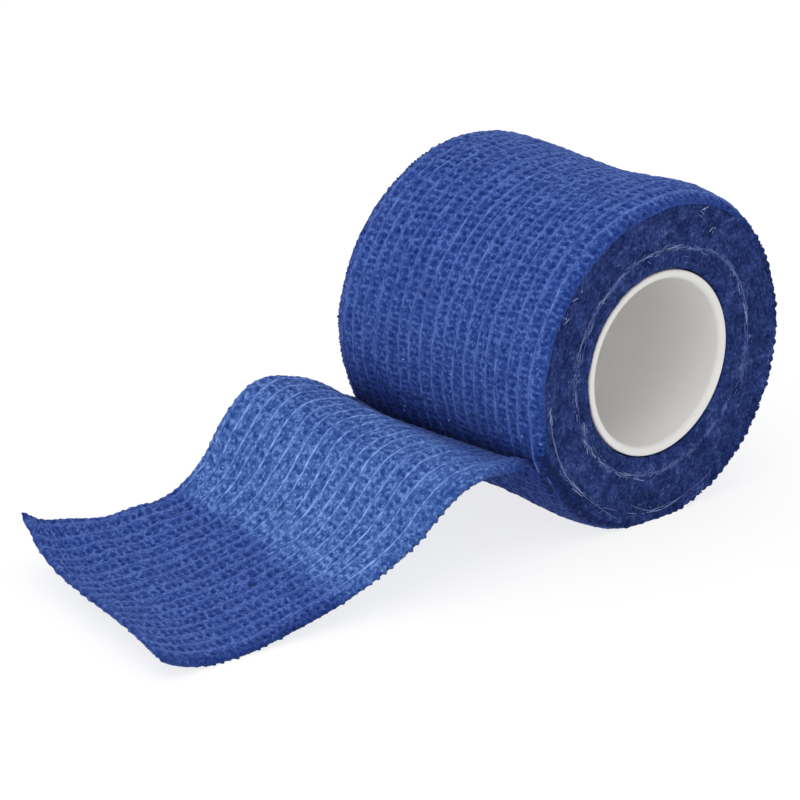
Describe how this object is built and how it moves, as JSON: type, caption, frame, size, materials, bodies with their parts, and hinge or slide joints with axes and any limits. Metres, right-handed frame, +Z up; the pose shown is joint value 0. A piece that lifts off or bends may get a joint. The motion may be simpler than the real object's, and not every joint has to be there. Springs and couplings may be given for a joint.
{
  "type": "cohesive bandage roll",
  "caption": "Roll of blue crepe cohesive bandage wound on a short white tube core, its loose end pulled out into a low hump and lying flat beside the roll, for wrapping and supporting a limb",
  "frame": {"origin": "on the surface the roll rests on, in the middle of its flat spot: under the roll's axis and halfway across the cloth", "axes": "+Y runs along the roll's axis away from the end face that shows; the loose end leaves the roll toward -X; +Z is up"},
  "size_m": [0.1394, 0.0532, 0.058],
  "materials": {
    "crepe_cloth": "matte puckered crepe with lengthwise elastic threads and fuzzy cut edges",
    "core_tube": "smooth off-white tube with a soft sheen"
  },
  "bodies": {
    "root": {"bandage": "crepe_cloth", "core": "core_tube"}
  },
  "joints": []
}
